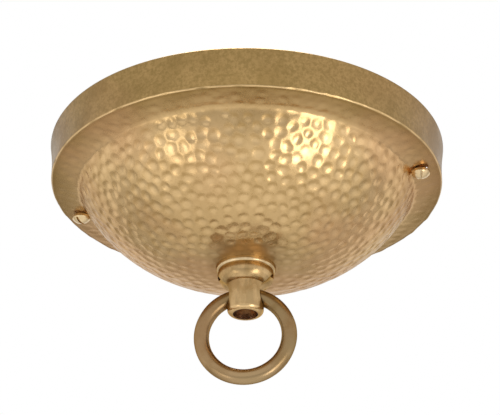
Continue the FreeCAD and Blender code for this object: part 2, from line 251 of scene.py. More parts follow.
def even(points, spacing):
    """The outline's points at even distances along it, with the distances."""
    points = np.array(points, float)
    steps = np.hypot(*np.diff(points, axis=0).T)
    far = np.concatenate([[0.0], np.cumsum(steps)])
    count = max(2, int(round(far[-1] / spacing)) + 1)
    at = np.linspace(0.0, far[-1], count)
    return np.stack([np.interp(at, far, points[:, k]) for k in (0, 1)], axis=1), at


def rounded(corner, before, after, radius, count):
    """Points on an arc that rounds a corner of an outline."""
    corner = np.array(corner, float)
    back = np.array(before, float) - corner
    on = np.array(after, float) - corner
    back /= np.linalg.norm(back)
    on /= np.linalg.norm(on)
    half = math.acos(max(-1.0, min(1.0, float(back @ on)))) / 2
    reach = radius / math.tan(half)
    middle = corner + (back + on) / np.linalg.norm(back + on) * radius / math.sin(half)
    first = corner + back * reach - middle
    last = corner + on * reach - middle
    turn = math.atan2(first[0] * last[1] - first[1] * last[0], float(first @ last))
    angle = np.linspace(0.0, turn, count)
    x = first[0] * np.cos(angle) - first[1] * np.sin(angle)
    y = first[0] * np.sin(angle) + first[1] * np.cos(angle)
    return list(middle + np.stack([x, y], axis=1))


def side_of(points):
    """Unit vectors to the left of the way along an outline."""
    points = np.array(points, float)
    way = np.gradient(points, axis=0)
    way /= np.maximum(np.linalg.norm(way, axis=1), 1e-9)[:, None]
    return np.stack([-way[:, 1], way[:, 0]], axis=1)


class Mesh:
    """Collects grids of points, in millimetres, with three values on each point for the finish: painted
    sheen and wear, painted shade, and a zone that shifts the colour, partly as painted shade and
    highlight.
    """

    LAYERS = ("shine", "wall", "zone")

    def __init__(self):
        self.points = []
        self.faces = []
        self.layers = {name: [] for name in self.LAYERS}
        self.count = 0

    def add(self, points, faces, **layers):
        """Adds points and their faces. A value that isn't given is 0 on them."""
        self.points.append(np.asarray(points, float).reshape(-1, 3))
        self.faces += [tuple(int(i) + self.count for i in face) for face in faces]
        size = len(self.points[-1])
        for name in self.LAYERS:
            values = np.asarray(layers.get(name, 0.0), float).ravel()
            self.layers[name].append(np.broadcast_to(values, size))
        self.count += size

    def turned(self, outline, around, push=0.0, keep=None, lift=0.0, **layers):
        """A turned surface. Its outline's left side is outside; push moves points in, lift up."""
        outline = np.asarray(outline, float)
        rows = len(outline)
        angle = turns(around)
        inward = -side_of(outline)
        depth = np.broadcast_to(push, (rows, around))
        radius = outline[:, 0][:, None] + depth * inward[:, 0][:, None]
        height = outline[:, 1][:, None] + depth * inward[:, 1][:, None] + lift
        points = np.stack([radius * np.cos(angle), radius * np.sin(angle), height], axis=2)
        index = np.arange(rows * around).reshape(rows, around)
        after = np.roll(index, -1, axis=1)
        quads = np.stack([index[:-1], after[:-1], after[1:], index[1:]], axis=2).reshape(-1, 4)
        if keep is not None:
            points, quads = keep(points.reshape(-1, 3), quads)
        self.add(points, quads, **layers)

    def build(self, name, material, smooth_angle):
        """The finished object. Edges sharper than the smooth angle, in degrees, stay sharp."""
        mesh = bpy.data.meshes.new(name)
        points = np.concatenate(self.points) * MM
        mesh.from_pydata(points.tolist(), [], self.faces)
        mesh.update()
        for label, values in self.layers.items():
            layer = mesh.attributes.new(label, "FLOAT", "POINT")
            layer.data.foreach_set("value", np.concatenate(values).astype(np.float32))
        mesh.materials.append(material)
        mesh.shade_smooth()
        item = bpy.data.objects.new(name, mesh)
        bpy.context.scene.collection.objects.link(item)
        bpy.context.view_layer.objects.active = item
        for other in bpy.context.selected_objects:
            other.select_set(False)
        item.select_set(True)
        bpy.ops.object.shade_smooth_by_angle(angle=math.radians(smooth_angle))
        item.select_set(False)
        return item


def mark_places(outline, along, pitch, seed, first, last):
    """Evenly spread random middles of marks on a turned surface, as (distance along, angle)."""
    rng = np.random.default_rng(seed)
    rows = max(1, int(round((last - first) / (0.866 * pitch))))
    places = []
    for row in range(rows):
        at = first + (row + 0.5) * (last - first) / rows
        radius = float(np.interp(at, along, outline[:, 0]))
        marks = max(3, int(round(2 * math.pi * radius / pitch)))
        start = rng.uniform(0.0, 1.0)
        for k in range(marks):
            places.append((at, (k + start) / marks * 2 * math.pi))
    places = np.array(places)
    places[:, 0] += rng.normal(0.0, 0.26 * pitch, len(places))
    radii = np.interp(places[:, 0], along, outline[:, 0])
    places[:, 1] += rng.normal(0.0, 0.26 * pitch, len(places)) / radii
    # Middles that are too near each other move apart
    for _ in range(4):
        radii = np.interp(places[:, 0], along, outline[:, 0])
        across = places[:, 1][:, None] - places[:, 1][None, :]
        across = (across + math.pi) % (2 * math.pi) - math.pi
        across *= np.sqrt(radii[:, None] * radii[None, :])
        up = places[:, 0][:, None] - places[:, 0][None, :]
        far = np.hypot(across, up) + np.eye(len(places)) * 1e3
        push = np.clip(0.95 * pitch - far, 0.0, None) / far * 0.3
        places[:, 0] += (push * up).sum(axis=1)
        places[:, 1] += (push * across).sum(axis=1) / radii
        places[:, 0] = np.clip(places[:, 0], first + 0.2 * pitch, last - 0.2 * pitch)
    return places


# The slope at which a mark's side gets the full painted shade
WALL_SLOPE = 0.11


def hammer_marks(outline, along, around, pitch, reach, depths, seed):
    """Depth of round marks over a turned surface, a painted highlight on their floors that is strongest
    towards their lower side, and painted shade on their upper walls.
    """
    rng = np.random.default_rng(seed + 100)
    outline = np.asarray(outline, float)
    angle = turns(around)
    depths = np.broadcast_to(depths, len(along))
    field = np.zeros((len(outline), around))
    shine = np.zeros((len(outline), around))
    for here, turn in mark_places(outline, along, pitch, seed, -0.3 * pitch, along[-1] + 0.3 * pitch):
        radius = max(4.0, float(np.interp(here, along, outline[:, 0])))
        size = reach * rng.uniform(0.76, 1.12)
        deep = float(np.interp(here, along, depths)) * rng.uniform(0.6, 1.25)
        stretch = rng.uniform(0.86, 1.16)
        lean = rng.uniform(0.0, math.pi)
        tilt = rng.uniform(-0.3, 0.3, 2)
        near = np.nonzero(np.abs(along - here) < 1.2 * size)[0]
        if not len(near):
            continue
        span = int(math.ceil(1.2 * size / radius / (2 * math.pi) * around)) + 1
        centre = int(round(turn / (2 * math.pi) * around))
        columns = (centre + np.arange(-span, span + 1)) % around
        across = (angle[columns] - turn + math.pi) % (2 * math.pi) - math.pi
        wide = outline[near, 0][:, None] * across[None, :] / size
        high = (along[near] - here)[:, None] / size
        u = (wide * math.cos(lean) + high * math.sin(lean)) * stretch
        v = (high * math.cos(lean) - wide * math.sin(lean)) / stretch
        bowl = np.clip(1.0 - np.hypot(u, v) ** 2.3, 0.0, 1.0) ** 1.35
        patch = deep * bowl * (1.0 + tilt[0] * u + tilt[1] * v)
        # Painted highlight on the mark's floor, stronger towards its lower side along the outline
        glow = bowl**2 * np.clip(0.55 + 0.9 * high, 0.0, 1.0) * rng.uniform(0.5, 1.0)
        block = np.ix_(near, columns)
        field[block] = np.maximum(field[block], patch)
        shine[block] = np.maximum(shine[block], glow)
    # Painted shade on the sides that face up the outline, and a little on the sides to either hand
    rise = np.gradient(field, along, axis=0) / WALL_SLOPE
    step = 2 * math.pi / around * np.maximum(outline[:, 0], 1.0)[:, None]
    slant = (np.roll(field, -1, axis=1) - np.roll(field, 1, axis=1)) / (2 * step) / WALL_SLOPE
    wall = np.clip(rise - 0.15, 0.0, 1.0) + 0.15 * np.clip(np.abs(slant), 0.0, 1.0)
    return field, shine, np.clip(wall, 0.0, 1.0)


# Shader helpers


def new_group(name, inputs, outputs):
    """An empty shader node group with these sockets."""
    group = bpy.data.node_groups.new(name, "ShaderNodeTree")
    for label, kind, value in inputs:
        socket = group.interface.new_socket(name=label, in_out="INPUT", socket_type=kind)
        if value is not None:
            socket.default_value = value
    for label, kind in outputs:
        group.interface.new_socket(name=label, in_out="OUTPUT", socket_type=kind)
    return group, group.nodes.new("NodeGroupInput"), group.nodes.new("NodeGroupOutput")


def link(tree, start, end):
    tree.links.new(start, end)


def feed(tree, value, socket):
    """Links a socket to the value, or sets it where the value is a plain one."""
    if isinstance(value, bpy.types.NodeSocket):
        link(tree, value, socket)
    else:
        socket.default_value = value


def noise(tree, vector, scale, detail=4.0, rough=0.55):
    node = tree.nodes.new("ShaderNodeTexNoise")
    feed(tree, scale, node.inputs["Scale"])
    node.inputs["Detail"].default_value = detail
    node.inputs["Roughness"].default_value = rough
    link(tree, vector, node.inputs["Vector"])
    return node.outputs["Fac"]


def spread(tree, value, low, high, out_low=0.0, out_high=1.0):
    """A soft step from one output to the other as the value goes from low to high."""
    node = tree.nodes.new("ShaderNodeMapRange")
    node.interpolation_type = "SMOOTHSTEP"
    for label, number in (
        ("From Min", low),
        ("From Max", high),
        ("To Min", out_low),
        ("To Max", out_high),
    ):
        node.inputs[label].default_value = number
    link(tree, value, node.inputs["Value"])
    return node.outputs["Result"]


def math_node(tree, kind, *values):
    node = tree.nodes.new("ShaderNodeMath")
    node.operation = kind
    for value, socket in zip(values, node.inputs):
        feed(tree, value, socket)
    return node.outputs[0]


def plus(tree, a, b):
    return math_node(tree, "ADD", a, b)


def times(tree, a, b):
    return math_node(tree, "MULTIPLY", a, b)


def blend_colours(tree, share, first, second):
    """The first colour at a share of 0 and the second at a share of 1."""
    node = tree.nodes.new("ShaderNodeMix")
    node.data_type = "RGBA"
    feed(tree, share, node.inputs[0])
    feed(tree, first, node.inputs[6])
    feed(tree, second, node.inputs[7])
    return node.outputs[2]


def from_axis(tree, vector):
    """The square of the distance from the upright axis, and the height."""
    parts = tree.nodes.new("ShaderNodeSeparateXYZ")
    link(tree, vector, parts.inputs[0])
    x, y, height = parts.outputs
    return plus(tree, times(tree, x, x), times(tree, y, y)), height


WHITE = (1.0, 1.0, 1.0, 1.0)
WARM_TINGE = (0.62, 0.30, 0.17, 1.0)


def tarnish_group():
    """Blotches and fine specks of darker brass, with the duller finish that goes with them. Painted
    sheen and wear lighten it, and painted shade darkens it.
    """
    group, start, end = new_group(
        "Brass Tarnish With Painted Light",
        [
            ("Vector", "NodeSocketVector", None),
            ("Clean", "NodeSocketColor", (0.5, 0.35, 0.15, 1.0)),
            ("Dark", "NodeSocketColor", (0.3, 0.2, 0.08, 1.0)),
            ("Blotch Scale", "NodeSocketFloat", 40.0),
            ("Base", "NodeSocketFloat", 0.0),
            ("Amount", "NodeSocketFloat", 0.5),
            ("Worn", "NodeSocketFloat", 0.0),
            ("Wall", "NodeSocketFloat", 0.0),
            ("Warmth", "NodeSocketFloat", 0.2),
            ("Roughness", "NodeSocketFloat", 0.3),
        ],
        [
            ("Color", "NodeSocketColor"),
            ("Roughness", "NodeSocketFloat"),
            ("Height", "NodeSocketFloat"),
        ],
    )
    vector = start.outputs["Vector"]
    blotch = spread(group, noise(group, vector, start.outputs["Blotch Scale"], 5.0, 0.6), 0.38, 0.66)
    speck = spread(group, noise(group, vector, 900.0, 3.0, 0.6), 0.52, 0.72)
    dark = times(group, blotch, start.outputs["Amount"])
    dark = plus(group, dark, times(group, speck, 0.18))
    # Painted sheen and wear lighten the brass, and painted shade darkens it
    dark = math_node(group, "SUBTRACT", dark, times(group, start.outputs["Worn"], 0.90))
    dark = plus(group, dark, times(group, start.outputs["Wall"], 0.40))
    dark = plus(group, dark, start.outputs["Base"])
    clamp = group.nodes.new("ShaderNodeClamp")
    link(group, dark, clamp.inputs["Value"])
    share = clamp.outputs[0]
    colour = blend_colours(group, share, start.outputs["Clean"], start.outputs["Dark"])
    tint = spread(group, noise(group, vector, 22.0, 2.0), 0.40, 0.62)
    warmth = times(group, tint, start.outputs["Warmth"])
    link(group, blend_colours(group, warmth, colour, WARM_TINGE), end.inputs["Color"])
    rough = plus(group, start.outputs["Roughness"], times(group, share, 0.12))
    link(group, rough, end.inputs["Roughness"])
    grain = noise(group, vector, 2600.0, 2.0, 0.5)
    height = plus(group, times(group, grain, 0.5), times(group, speck, 0.5))
    link(group, height, end.inputs["Height"])
    return group


def turning_lines_group():
    """Fine rings left by turning, round the upright axis."""
    group, start, end = new_group(
        "Turning Lines",
        [("Vector", "NodeSocketVector", None), ("Scale", "NodeSocketFloat", 2500.0)],
        [("Height", "NodeSocketFloat")],
    )
    square, upright = from_axis(group, start.outputs["Vector"])
    joined = group.nodes.new("ShaderNodeCombineXYZ")
    link(group, math_node(group, "SQRT", square), joined.inputs[0])
    link(group, upright, joined.inputs[2])
    lines = noise(group, joined.outputs[0], start.outputs["Scale"], 2.0, 0.5)
    link(group, lines, end.inputs["Height"])
    return group


def shared_group(name, maker):
    """The node group of that name, built the first time it is asked for."""
    return bpy.data.node_groups.get(name) or maker()


def place_group(tree, group, vector, **values):
    """A shared group placed in a material, with the material's own values."""
    node = tree.nodes.new("ShaderNodeGroup")
    node.node_tree = group
    link(tree, vector, node.inputs["Vector"])
    for label, value in values.items():
        feed(tree, value, node.inputs[label.replace("_", " ")])
    return node


def plain_material(name):
    """A new material with its node tree, its shader and the object's coordinates."""
    material = bpy.data.materials.new(name)
    material.use_nodes = True
    tree = material.node_tree
    shader = tree.nodes["Principled BSDF"]
    place = tree.nodes.new("ShaderNodeTexCoord").outputs["Object"]
    return material, tree, shader, place


def bump(tree, shader, height, strength, distance):
    node = tree.nodes.new("ShaderNodeBump")
    node.inputs["Strength"].default_value = strength
    node.inputs["Distance"].default_value = distance
    link(tree, height, node.inputs["Height"])
    link(tree, node.outputs["Normal"], shader.inputs["Normal"])


def point_value(tree, name):
    """One of the values that a built mesh has on its points, which is 0 on a CAD node."""
    node = tree.nodes.new("ShaderNodeAttribute")
    node.attribute_name = name
    return node.outputs["Fac"]


def tarnished(tree, shader, place, tint, **values):
    """Makes the shader a tarnished metal, whose tint tells on its edges, and gives its height."""
    group = place_group(tree, shared_group("Brass Tarnish With Painted Light", tarnish_group), place, **values)
    link(tree, group.outputs["Color"], shader.inputs["Base Color"])
    link(tree, group.outputs["Roughness"], shader.inputs["Roughness"])
    shader.inputs["Metallic"].default_value = 1.0
    shader.inputs["Specular Tint"].default_value = tint
    return group.outputs["Height"]


# Places with a look of their own, in millimetres: the radii between which the dull ring round the
# seat fades out, the heights of the lip's top and the washer's underside, and the bore's radius
SEAT_FADE = (12.0, 22.0)
LIP_TOP = -60.5
WASHER_LOW = -46.2
BORE = 4.3

# Their colours, and the darker or rubbed colours of each finish
# The flange's brass and tarnish are darker copies of the dome's: painted shade on the flange and round
# the washer, also used by the darker patches
FLANGE_BRASS = (0.39, 0.242, 0.094, 1.0)
FLANGE_TARNISH = (0.25, 0.148, 0.044, 1.0)
# Slightly darker, duller brass round the seat, painted to tone the reflections of the washer and cup
# there
SEAT_BRASS = (0.63, 0.435, 0.22, 1.0)
BAND_MOTTLE = (0.27, 0.175, 0.062, 1.0)
BAND_TARNISH = (0.22, 0.14, 0.045, 1.0)
TURNED_BRASS = (0.56, 0.375, 0.18, 1.0)
TURNED_STREAK = (0.43, 0.29, 0.135, 1.0)
TURNED_TARNISH = (0.34, 0.20, 0.075, 1.0)
WASHER_BRASS = (0.71, 0.535, 0.31, 1.0)
BORE_BRASS = (0.66, 0.48, 0.38, 1.0)
# The lower half of the ring: partly wear where the chain hangs, partly painted sheen
RING_POLISH_AND_SHEEN = (0.50, 0.355, 0.19, 1.0)
RING_TARNISH = (0.23, 0.14, 0.05, 1.0)
ZINC_CLOUD = (0.36, 0.37, 0.34, 1.0)
GREEN_CLOUD = (0.015, 0.09, 0.03, 1.0)


def hammered_brass(settings):
    material, tree, shader, place = plain_material("hammered_brass_finish")
    zone = point_value(tree, "zone")
    square, _ = from_axis(tree, place)
    near, far = SEAT_FADE
    seat = spread(tree, square, (near * MM) ** 2, (far * MM) ** 2, 1.0, 0.0)
    # The zone blends in the flange's darker brass as painted shade, and round the seat the brass is
    # painted to tone the reflections of the washer and cup
    clean = blend_colours(tree, zone, settings.brass, FLANGE_BRASS)
    clean = blend_colours(tree, seat, clean, SEAT_BRASS)
    height = tarnished(
        tree,
        shader,
        place,
        tint=(0.84, 0.78, 0.70, 1.0),
        Clean=clean,
        Dark=blend_colours(tree, zone, settings.tarnish, FLANGE_TARNISH),
        # Painted highlight on the marks' floors and the fold lightens the brass, and painted shade
        # darkens it
        Worn=point_value(tree, "shine"),
        Wall=point_value(tree, "wall"),
        Base=0.25,
        Amount=0.32,
        Warmth=0.24,
        Roughness=plus(tree, times(tree, seat, 0.14), 0.21),
        Blotch_Scale=60.0,
    )
    height = plus(tree, times(tree, height, 0.15), noise(tree, place, 330.0, 3.0, 0.5))
    bump(tree, shader, height, 0.5, 0.00014)
    return material


def band_brass(settings):
    material, tree, shader, place = plain_material("band_brass_finish")
    mottle = spread(tree, noise(tree, place, 800.0, 4.0, 0.7), 0.36, 0.64)
    # The band's brass is a darker copy of the dome's, painted shade; its mottles are the brass's own
    clean = blend_colours(tree, mottle, settings.band_brass, BAND_MOTTLE)
    height = tarnished(
        tree,
        shader,
        place,
        tint=(0.78, 0.80, 0.84, 1.0),
        # The zone lightens the corner with the dome's brass: painted highlight
        Clean=blend_colours(tree, point_value(tree, "zone"), clean, settings.brass),
        Dark=BAND_TARNISH,
        # Painted highlight on one side of the band and along the corner lightens it, and faint painted
        # shade on the marks darkens it
        Worn=point_value(tree, "shine"),
        Wall=point_value(tree, "wall"),
        Amount=0.55,
        Warmth=0.08,
        Roughness=0.33,
        Blotch_Scale=90.0,
    )
    bump(tree, shader, plus(tree, height, mottle), 0.18, 0.00012)
    return material


def turned_brass(settings):
    material, tree, shader, place = plain_material("turned_brass_finish")
    square, upright = from_axis(tree, place)
    lip = spread(tree, upright, (LIP_TOP - 0.8) * MM, LIP_TOP * MM, 1.0, 0.0)
    washer = spread(tree, upright, (WASHER_LOW - 0.05) * MM, (WASHER_LOW + 0.05) * MM)
    bore = spread(tree, square, (BORE * MM) ** 2, ((BORE + 0.15) * MM) ** 2, 1.0, 0.0)
    stretch = tree.nodes.new("ShaderNodeMapping")
    link(tree, place, stretch.inputs["Vector"])
    stretch.inputs["Scale"].default_value = (1.0, 1.0, 0.2)
    streak = spread(tree, noise(tree, stretch.outputs[0], 420.0, 3.0, 0.6), 0.38, 0.62)
    clean = blend_colours(tree, streak, TURNED_BRASS, TURNED_STREAK)
    clean = blend_colours(tree, lip, clean, settings.brass)
    clean = blend_colours(tree, washer, clean, WASHER_BRASS)
    height = tarnished(
        tree,
        shader,
        place,
        tint=(0.60, 0.48, 0.32, 1.0),
        Clean=blend_colours(tree, bore, clean, BORE_BRASS),
        Dark=TURNED_TARNISH,
        Amount=0.6,
        Warmth=0.15,
        Roughness=0.24,
        Blotch_Scale=160.0,
    )
    rings = place_group(tree, shared_group("Turning Lines", turning_lines_group), place)
    bump(tree, shader, plus(tree, rings.outputs["Height"], height), 0.10, 0.00003)
    return material


def ring_brass(settings):
    material, tree, shader, place = plain_material("ring_brass_finish")
    # The lighter lower half of the ring is partly wear where the chain hangs and partly painted sheen
    worn_and_lit = point_value(tree, "shine")
    height = tarnished(
        tree,
        shader,
        place,
        tint=(0.52, 0.43, 0.32, 1.0),
        Clean=blend_colours(tree, worn_and_lit, settings.ring_brass, RING_POLISH_AND_SHEEN),
        Dark=RING_TARNISH,
        Worn=worn_and_lit,
        Amount=0.6,
        Warmth=0.14,
        Roughness=0.28,
        Blotch_Scale=110.0,
    )
    bump(tree, shader, height, 0.02, 0.00003)
    return material


def screw_brass(settings):
    material, tree, shader, place = plain_material("screw_brass_finish")
    height = tarnished(
        tree,
        shader,
        place,
        tint=WHITE,
        Clean=settings.screw_brass,
        Dark=settings.tarnish,
        Amount=0.25,
        Warmth=0.05,
        Roughness=0.2,
        Blotch_Scale=400.0,
    )
    bump(tree, shader, height, 0.1, 0.00003)
    return material


def zinc_steel(settings):
    material, tree, shader, place = plain_material("zinc_steel_finish")
    cloud = spread(tree, noise(tree, place, 180.0, 5.0, 0.6), 0.3, 0.7)
    colour = blend_colours(tree, cloud, settings.zinc, ZINC_CLOUD)
    link(tree, colour, shader.inputs["Base Color"])
    rough = spread(tree, noise(tree, place, 420.0, 4.0), 0.3, 0.7, 0.26, 0.42)
    link(tree, rough, shader.inputs["Roughness"])
    shader.inputs["Metallic"].default_value = 1.0
    bump(tree, shader, noise(tree, place, 1800.0, 3.0), 0.12, 0.00004)
    return material


def green_paint(settings):
    material, tree, shader, place = plain_material("green_screw_finish")
    cloud = spread(tree, noise(tree, place, 500.0, 4.0), 0.3, 0.7)
    colour = blend_colours(tree, cloud, settings.green, GREEN_CLOUD)
    link(tree, colour, shader.inputs["Base Color"])
    rough = spread(tree, noise(tree, place, 900.0, 3.0), 0.3, 0.7, 0.28, 0.45)
    link(tree, rough, shader.inputs["Roughness"])
    shader.inputs["Metallic"].default_value = 0.6
    bump(tree, shader, noise(tree, place, 2200.0, 2.0), 0.1, 0.00003)
    return material


def finish(name, maker):
    """The material of that name, made the first time it is asked for."""
    settings = bpy.context.scene.canopy_finish
    return bpy.data.materials.get(name) or maker(settings)


# Pieces


# Measures of the shell in millimetres, as (radius, height) where they are pairs
SHEET = 1.0
RIM = 70.0
RIM_INSIDE = RIM - SHEET
CORNER = (69.0, -13.9)
FOOT = (59.2, -15.5)
CORNER_INSIDE = (68.0, -12.9)
FOOT_INSIDE = (58.2, -14.5)
SEAT_HEIGHT = -44.4
SEAT_INSIDE = -43.4
SEAT_START = 12.6
SEAT_EDGE = 10.5
STEM_HOLE = 5.3
DOME = [FOOT, (52.1, -30.3), (33.4, SEAT_HEIGHT), (SEAT_START, SEAT_HEIGHT)]
DOME_INSIDE = [FOOT_INSIDE, (51.3, -29.7), (33.4, SEAT_INSIDE), (SEAT_START, SEAT_INSIDE)]
CORNER_ROUND = 0.65
RIM_ROUND = 0.25
FILLET = 2.8
WAIST = 0.28
BAND_MARK_PITCH = 8.0
BAND_MARK_RADIUS = 5.2

# The screw slots in the flange: the radii of their ends' middles, and half their width
SLOT_ENDS = (62.0, 63.0)
SLOT_HALF = 2.2

# Round each screw the flange is flat out to the first radius, and keeps to the CAD to the second
SCREW_FLAT = 4.6
SCREW_WELD = 6.2

# How far along the outline from the corner the flange ends and the dome begins
FOLD = 9.3

# Points round the shell where it is finest, and round the band and the inside
FINE = 720
MEDIUM = 480
COARSE = 240
HOLE_POINTS = 120

# The painted highlight on the band: compass turn and half width
BAND_SHEEN = (math.radians(314.0), 0.22)

# Darker patches on the dome: compass turn and half width in degrees, strength, and the start and end
# along the outline. The first is on the near side of the dome, left of the middle; the second and third
# are painted shade at the left and right sides of the dome as the camera sees them
DOME_PATCHES = (
    (250.0, 34.0, 0.13, 30.0, 52.0),
    (192.0, 18.0, 0.50, 12.0, 28.0),
    (16.0, 16.0, 0.50, 11.0, 24.0),
)

# The loop body and its ring are turned by this about the upright axis
LOOP_TURN = math.radians(10.0)


def cad_node(name):
    """The CAD piece of this name, which must be in the frame."""
    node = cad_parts.get(name)
    if node is None:
        raise RuntimeError("The frame has no part named " + name)
    return node


def dress(node, material):
    """Gives a CAD node its finish."""
    node.data.materials.clear()
    node.data.materials.append(material)


def slot_edge(points):
    """Distance of each point from the edge of the nearest screw slot, and the way out of it.

    Inside a slot the distance is less than 0.
    """
    x = np.abs(points[:, 0])
    along = np.clip(x, *SLOT_ENDS)
    out = np.stack([(x - along) * np.sign(points[:, 0]), points[:, 1]], axis=1)
    far = np.linalg.norm(out, axis=1)
    way = out / np.maximum(far, 1e-6)[:, None]
    return far - SLOT_HALF, way


def open_slots(points, quads):
    """Opens the two screw slots in a ring of the flange."""
    far, way = slot_edge(points)
    inside = far < 0
    points = points.copy()
    points[inside, :2] -= far[inside][:, None] * way[inside]
    quads = quads[~inside[quads].all(axis=1)]
    return points, quads


def slope_height(radius):
    """Height of the flange's underside at this radius."""
    share = (CORNER[0] - radius) / (CORNER[0] - FOOT[0])
    return CORNER[1] + share * (FOOT[1] - CORNER[1])


def slot_walls(mesh):
    """The thickness of the sheet round each screw slot."""
    around = 64
    turn = turns(around)
    for side in (1, -1):
        x = np.where(np.cos(turn) > 0, SLOT_ENDS[1], SLOT_ENDS[0]) + SLOT_HALF * np.cos(turn)
        y = SLOT_HALF * np.sin(turn)
        under = slope_height(np.hypot(x, y))
        rings = [np.stack([side * x, y, under + rise], axis=1) for rise in (0.0, SHEET)]
        low, high = np.arange(2 * around).reshape(2, around)
        quads = np.stack([low, np.roll(low, -1), np.roll(high, -1), high], axis=1)
        mesh.add(np.concatenate(rings), quads if side < 0 else quads[:, ::-1], zone=0.8)


def distance_to(points, path):
    """Distance of each point from the nearest point of a path."""
    path = np.asarray(path, float)
    return np.min(np.hypot(*(points[:, None, :] - path[None, :, :]).transpose(2, 0, 1)), axis=1)


def from_screws(outline, around):
    """Distance in plan of each point of a turned surface from the middle of the nearest screw."""
    angle = turns(around)
    radius = outline[:, 0][:, None]
    x = np.abs(radius * np.cos(angle)) - sum(SLOT_ENDS) / 2
    return np.hypot(x, radius * np.sin(angle))


def corner_edge():
    """The rounded corner between the band and the flange."""
    return rounded(CORNER, (RIM, 0.0), FOOT, CORNER_ROUND, 9)


def dome_outline():
    """The outline from the corner to the seat, its distances, and the CAD's sharper outline."""
    fillet = rounded(FOOT, CORNER, DOME[1], FILLET, 11)
    curve = bezier(DOME, 400)
    start = int(np.argmin(np.hypot(*(curve - fillet[-1]).T)))
    edge = corner_edge()[-1]
    outline, along = even([edge, *fillet, *curve[start + 1 :], (SEAT_EDGE, SEAT_HEIGHT)], 0.55)
    return outline, along, np.concatenate([np.linspace(CORNER, FOOT, 200), curve])


def patch_strength(along, around):
    """Strength of the darker patches at each point of the dome."""
    turn = turns(around)
    darkening = np.zeros((len(along), around))
    for middle, width, strength, first, last in DOME_PATCHES:
        across = bell(turn, math.radians(middle), math.radians(width))
        ends = [first - 3.0, first + 3.0, last - 5.0, last + 5.0]
        down = np.interp(along, ends, [0.0, 1.0, 1.0, 0.0])
        darkening += strength * down[:, None] * across[None, :]
    return darkening


def add_shell(mesh, name, material):
    """Builds the mesh as one of the pieces that stand for the CAD's canopy."""
    item = mesh.build(name, material, 50.0)
    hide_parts("canopy")
    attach(item, BODY)


class CANOPY_OT_shell(bpy.types.Operator):
    """Build the hammered brass dome and flange, with their marks"""

    bl_idname = "canopy.shell"
    bl_label = "Hammered Dome"

    def execute(self, context):
        cad_node("canopy")
        settings = context.scene.canopy_shell
        depth = settings.mark_depth / MM
        shallow = settings.flange_mark_depth / MM
        outline, along, sharp = dome_outline()
        end = along[-1]
        depths = np.interp(
            along,
            [0.0, 1.2, 7.0, 9.0, 11.0, end - 22.0, end - 9.0, end],
            [0.5 * shallow, shallow, shallow, 0.6 * shallow, depth, depth, 0.5 * depth, 0.4 * depth],
        )
        marks, shine, wall = hammer_marks(
            outline,
            along,
            FINE,
            settings.mark_pitch / MM,
            settings.mark_radius / MM,
            depths,
            settings.seed,
        )

        # The marks end at the corner, at the seat and at the flat places under the screws, and
        # between them the surface stands 0.05 mm outside the outline
        ends = np.clip(along, 0.0, 1.0) * np.clip((end - along) / 0.9, 0.0, 1.0)
        screw = from_screws(outline, FINE)
        near = np.clip((SCREW_WELD - screw) / 2.0, 0.0, 1.0)
        flat = np.clip((SCREW_FLAT - screw) / 0.8, 0.0, 1.0) * (along < 9.0)[:, None]
        off = distance_to(outline, sharp)[:, None]
        push = (marks * (1.0 - flat) - 0.05) * ends[:, None] * (1.0 - flat) + off * near

        # A shallow groove with painted shade in it runs beside the corner, a painted highlight runs
        # along the fold between flange and dome, and the innermost ring round the washer and the flat
        # places round the screws get painted shade
        groove = bell(along, 0.55, 0.5)[:, None]
        fold = bell(along, FOLD, 0.4)[:, None]
        inmost = np.clip((along - end + 5.0) / 4.0, 0.0, 1.0)[:, None]
        soft = np.interp(along, [0.0, 9.5, 11.5], [0.3, 0.3, 1.0])[:, None]
        wall = wall * soft * (1.0 - flat) * (1.0 - fold) + flat * 0.4 + groove * 0.8 + inmost * 0.5
        # The zone gives the flange and the ring round the washer the flange's darker brass: painted
        # shade
        zone = np.interp(
            along,
            [0.0, 2.5, 8.5, 10.5, 13.0, 30.0, end - 14.0, end - 5.0, end - 1.0],
            [1.0, 0.85, 0.34, 0.12, 0.0, 0.0, 0.34, 0.46, 0.65],
        )
        mesh = Mesh()
        mesh.turned(
            outline,
            FINE,
            push + 0.05 * groove,
            keep=open_slots,
            shine=shine * soft * (1.0 - inmost) + 0.15 * fold,
            wall=np.clip(wall, 0.0, 1.0),
            zone=zone[:, None] + patch_strength(along, FINE),
        )
        # The stem's hole, with painted shade on its edge
        hole = [(SEAT_EDGE, SEAT_HEIGHT), (STEM_HOLE, SEAT_HEIGHT), (STEM_HOLE, SEAT_INSIDE)]
        mesh.turned(hole, HOLE_POINTS, wall=1.0, zone=1.0)
        add_shell(mesh, "hammered_dome", finish("hammered_brass_finish", hammered_brass))
        return {"FINISHED"}


